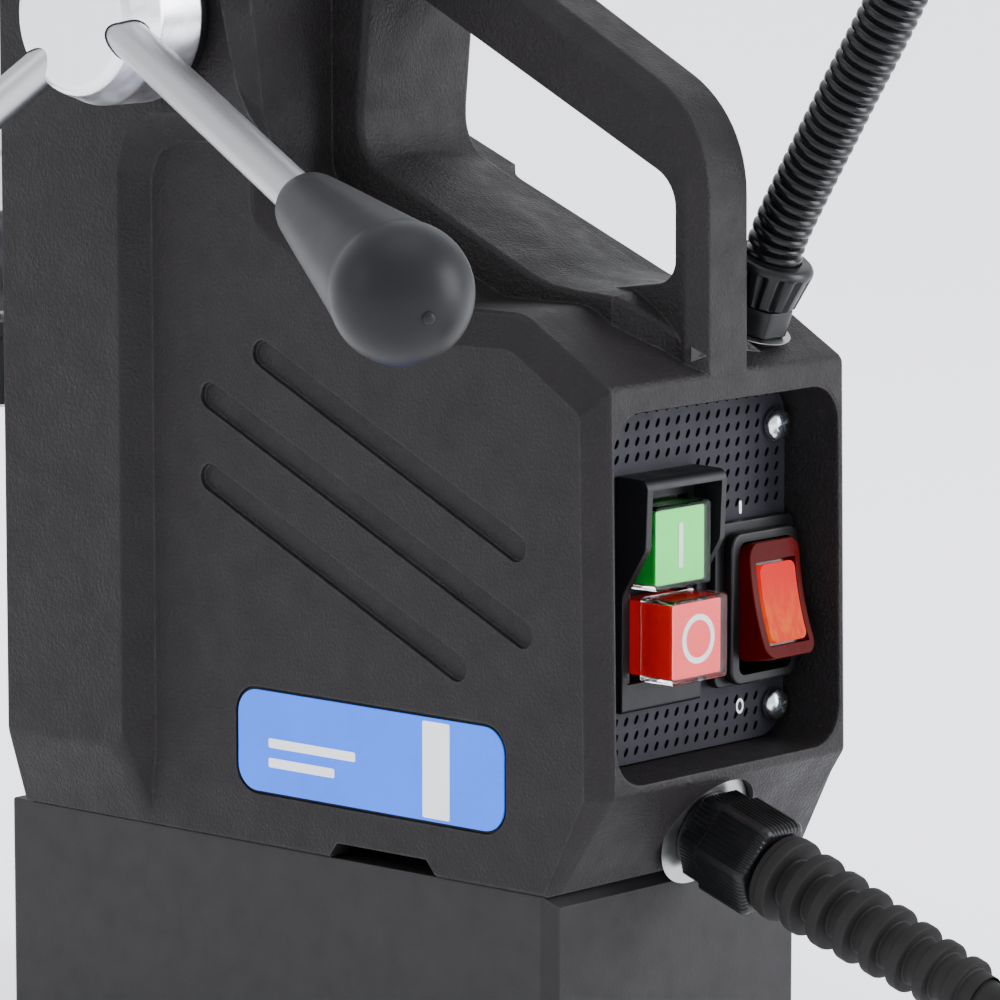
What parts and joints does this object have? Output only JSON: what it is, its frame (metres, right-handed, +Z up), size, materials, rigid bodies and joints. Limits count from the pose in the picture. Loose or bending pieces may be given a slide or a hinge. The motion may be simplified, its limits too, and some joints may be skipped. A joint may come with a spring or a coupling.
{
  "type": "magnetic drill press",
  "caption": "Portable magnetic drill press: electromagnet base, cast housing with carrying handle, rack-fed motor carriage with arbor spindle, three-lever hub and a rear control panel.",
  "frame": {"origin": "centre of the magnet's flat underside, which sits on the workpiece", "axes": "+Z up, away from the workpiece; +X towards the control panel at the rear; -Y towards the feed hub and its levers"},
  "size_m": [0.5045, 0.2715, 0.433],
  "materials": {
    "magnet_paint": "satin dark grey paint",
    "powder_coat": "fine textured black powder coat on a casting",
    "copper": "enamelled copper winding",
    "resin": "cast epoxy",
    "badge": "blue domed label",
    "bronze": "machined bronze",
    "zinc_steel": "bright zinc plate",
    "steel": "ground steel",
    "satin_aluminium": "satin aluminium",
    "black_plastic": "moulded black plastic",
    "grey_plastic": "moulded dark grey plastic",
    "grey_knob": "smooth satin dark grey plastic",
    "black_rubber": "matt black rubber",
    "board": "glass-fibre board",
    "panel_plate": "grey plate with a grid of dark dots",
    "green_cap": "glossy moulded plastic",
    "red_cap": "glossy moulded plastic",
    "lit_red": "glossy translucent red plastic"
  },
  "bodies": {
    "frame": {"magnet_base": "magnet_paint", "magnet_coil": "copper", "coil_potting": "resin", "housing": "powder_coat", "badge_near": "badge", "badge_far": "badge", "gib_strip": "bronze", "gib_screw_1": "zinc_steel", "gib_screw_2": "zinc_steel", "shaft_bush_near": "bronze", "shaft_bush_far": "bronze", "hub_ring": "black_plastic", "circuit_board": "board", "control_plate": "panel_plate", "plate_screw_1": "zinc_steel", "plate_screw_2": "zinc_steel", "plate_screw_3": "zinc_steel", "plate_screw_4": "zinc_steel", "switch_body": "black_plastic", "rocker_block": "grey_plastic", "rocker_bezel": "black_plastic", "cable_gland": "black_plastic", "strain_relief": "black_rubber", "mains_cable": "black_rubber", "mains_coil": "black_rubber", "mains_plug": "black_rubber", "conduit_fitting": "black_plastic", "conduit_nut": "black_plastic", "motor_conduit": "black_plastic"},
    "green_button": {"green_button": "green_cap"},
    "red_button": {"red_button": "red_cap"},
    "rocker": {"magnet_rocker": "lit_red"},
    "feed": {"feed_shaft": "steel", "feed_hub": "satin_aluminium", "feed_rod_1": "steel", "feed_knob_1": "grey_knob", "feed_rod_2": "steel", "feed_knob_2": "grey_knob", "feed_rod_3": "steel", "feed_knob_3": "grey_knob"},
    "carriage": {"carriage_slide": "steel", "feed_rack": "steel", "gearbox_housing": "satin_aluminium", "gearbox_cover": "satin_aluminium", "spindle_bearing_lower": "steel", "spindle_bearing_upper": "steel", "motor_housing": "black_plastic", "motor_cap": "black_plastic", "field_stator": "steel", "brush_cap_near": "black_plastic", "brush_cap_far": "black_plastic", "motor_fitting": "black_plastic"},
    "armature": {"armature_shaft": "steel", "armature_core": "steel", "commutator": "copper", "cooling_fan": "grey_plastic"},
    "intermediate": {"intermediate_gear": "steel"},
    "spindle": {"spindle": "steel", "spindle_gear": "steel", "arbor_screw": "steel"}
  },
  "joints": [
    {"name": "carriage_feed", "type": "slide", "parent": "frame", "child": "carriage", "axis": [0, 0, -1], "range_m": [0, 0.11], "deforming": ["motor_conduit"]},
    {"name": "feed_turn", "type": "hinge", "parent": "frame", "child": "feed", "pos_m": [-0.026, 0, 0.223], "axis": [0, -1, 0], "range_deg": [0, 601]},
    {"name": "armature_spin", "type": "hinge", "parent": "carriage", "child": "armature", "pos_m": [-0.11825, 0, 0.3], "axis": [0, 0, 1], "continuous": true},
    {"name": "intermediate_spin", "type": "hinge", "parent": "carriage", "child": "intermediate", "pos_m": [-0.09825, 0, 0.2], "axis": [0, 0, 1], "continuous": true},
    {"name": "spindle_spin", "type": "hinge", "parent": "carriage", "child": "spindle", "pos_m": [-0.132, 0, 0.16], "axis": [0, 0, 1], "continuous": true},
    {"name": "green_press", "type": "slide", "parent": "frame", "child": "green_button", "axis": [-1, 0, 0], "range_m": [0, 0.003], "stiffness_N_per_m": 600, "springref_m": -0.002},
    {"name": "red_press", "type": "slide", "parent": "frame", "child": "red_button", "axis": [-1, 0, 0], "range_m": [0, 0.003], "stiffness_N_per_m": 600, "springref_m": -0.002},
    {"name": "magnet_switch", "type": "hinge", "parent": "frame", "child": "rocker", "pos_m": [0.08, 0.0226, 0.101], "axis": [0, 1, 0], "range_deg": [0, 25]}
  ],
  "couplings": [
    {"joint": "feed_turn", "follows": "carriage_feed", "rad_per_m": 95.238},
    {"joint": "intermediate_spin", "follows": "armature_spin", "ratio": -0.25},
    {"joint": "spindle_spin", "follows": "armature_spin", "ratio": 0.071429}
  ]
}
